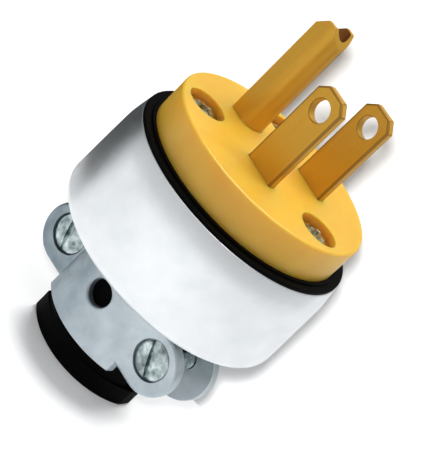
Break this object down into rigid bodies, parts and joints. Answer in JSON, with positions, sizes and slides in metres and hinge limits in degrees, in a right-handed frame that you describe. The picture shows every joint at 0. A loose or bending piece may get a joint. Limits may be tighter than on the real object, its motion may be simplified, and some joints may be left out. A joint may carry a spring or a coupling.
{
  "type": "polarized plug",
  "caption": "Armoured mains plug with two flat blades and a folded U ground pin in a round moulded face, a drawn metal shell and a screw-down cable clamp.",
  "frame": {"origin": "centre of the cable end, at the foot of the rubber bushing that the plug stands on", "axes": "+Z along the plug's axis towards the prongs, +Y from the blades towards the ground pin, +X from the neutral blade to the line blade"},
  "size_m": [0.0418, 0.0418, 0.0651],
  "materials": {
    "yellow_nylon": "moulded, satin",
    "brass_strip": "rolled and stamped brass",
    "block_phenolic": "moulded, dull",
    "silver_screw": "zinc plated",
    "brass_screw": "brass plated",
    "green_screw": "green plated",
    "plate_steel": "zinc plated strip",
    "shell_steel": "drawn, satin nickel plated",
    "liner_vinyl": "moulded, satin",
    "clamp_zinc": "die cast, tumbled",
    "clamp_screw_zinc": "zinc plated",
    "face_screw_zinc": "yellow zinc plated",
    "bushing_rubber": "moulded rubber"
  },
  "bodies": {
    "root": {"face_body": "yellow_nylon", "neutral_blade": "brass_strip", "line_blade": "brass_strip", "ground_pin": "brass_strip", "terminal_block": "block_phenolic", "neutral_terminal_screw": "silver_screw", "line_terminal_screw": "brass_screw", "ground_terminal_screw": "green_screw", "neutral_wire_plate": "plate_steel", "line_wire_plate": "plate_steel", "ground_wire_plate": "plate_steel", "shell": "shell_steel", "liner": "liner_vinyl", "face_screw_1": "face_screw_zinc", "face_screw_2": "face_screw_zinc", "face_screw_3": "face_screw_zinc", "front_clamp_half": "clamp_zinc", "rear_clamp_half": "clamp_zinc", "clamp_screw_1": "clamp_screw_zinc", "clamp_screw_2": "clamp_screw_zinc", "cable_bushing": "bushing_rubber"}
  },
  "joints": []
}
